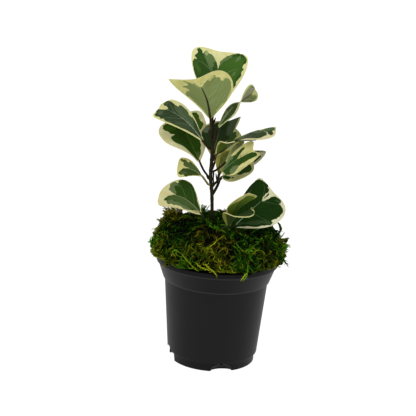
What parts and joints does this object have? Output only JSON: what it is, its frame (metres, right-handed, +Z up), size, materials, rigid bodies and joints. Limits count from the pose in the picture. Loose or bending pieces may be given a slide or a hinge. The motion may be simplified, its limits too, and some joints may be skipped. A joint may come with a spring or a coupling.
{
  "type": "potted variegated triangle fig",
  "caption": "Young variegated triangle fig with cream-edged leaves in a black plastic nursery pot topped with sheet moss.",
  "frame": {"origin": "middle of the pot's foot, on the surface that it stands on", "axes": "+Z up along the pot's axis, the pictured side towards -Y, +X to the right of it"},
  "size_m": [0.1241, 0.1162, 0.2762],
  "materials": {
    "pot_plastic": "satin moulded black plastic",
    "soil": "crumbly dark potting soil",
    "moss": "fibrous preserved sheet moss, olive with brighter green tufts",
    "bark": "thin brown bark with nodes",
    "leaf": "leathery variegated leaf, dark green with grey-green patches and a cream margin"
  },
  "bodies": {
    "root": {"pot": "pot_plastic", "potting_soil": "soil", "moss": "moss", "stem": "bark", "leaf_top_back": "leaf", "leaf_top_front": "leaf", "leaf_upper_right": "leaf", "leaf_left_upper": "leaf", "leaf_left_middle": "leaf", "leaf_behind_stem": "leaf", "leaf_right_rear": "leaf", "leaf_right_upper": "leaf", "leaf_right_inner": "leaf", "leaf_right_middle": "leaf", "leaf_right_front": "leaf", "leaf_right_low": "leaf", "leaf_right_far": "leaf", "leaf_left_small": "leaf", "leaf_left_low": "leaf", "leaf_right_large": "leaf", "leaf_right_cupped": "leaf", "leaf_right_rolled": "leaf"}
  },
  "joints": []
}
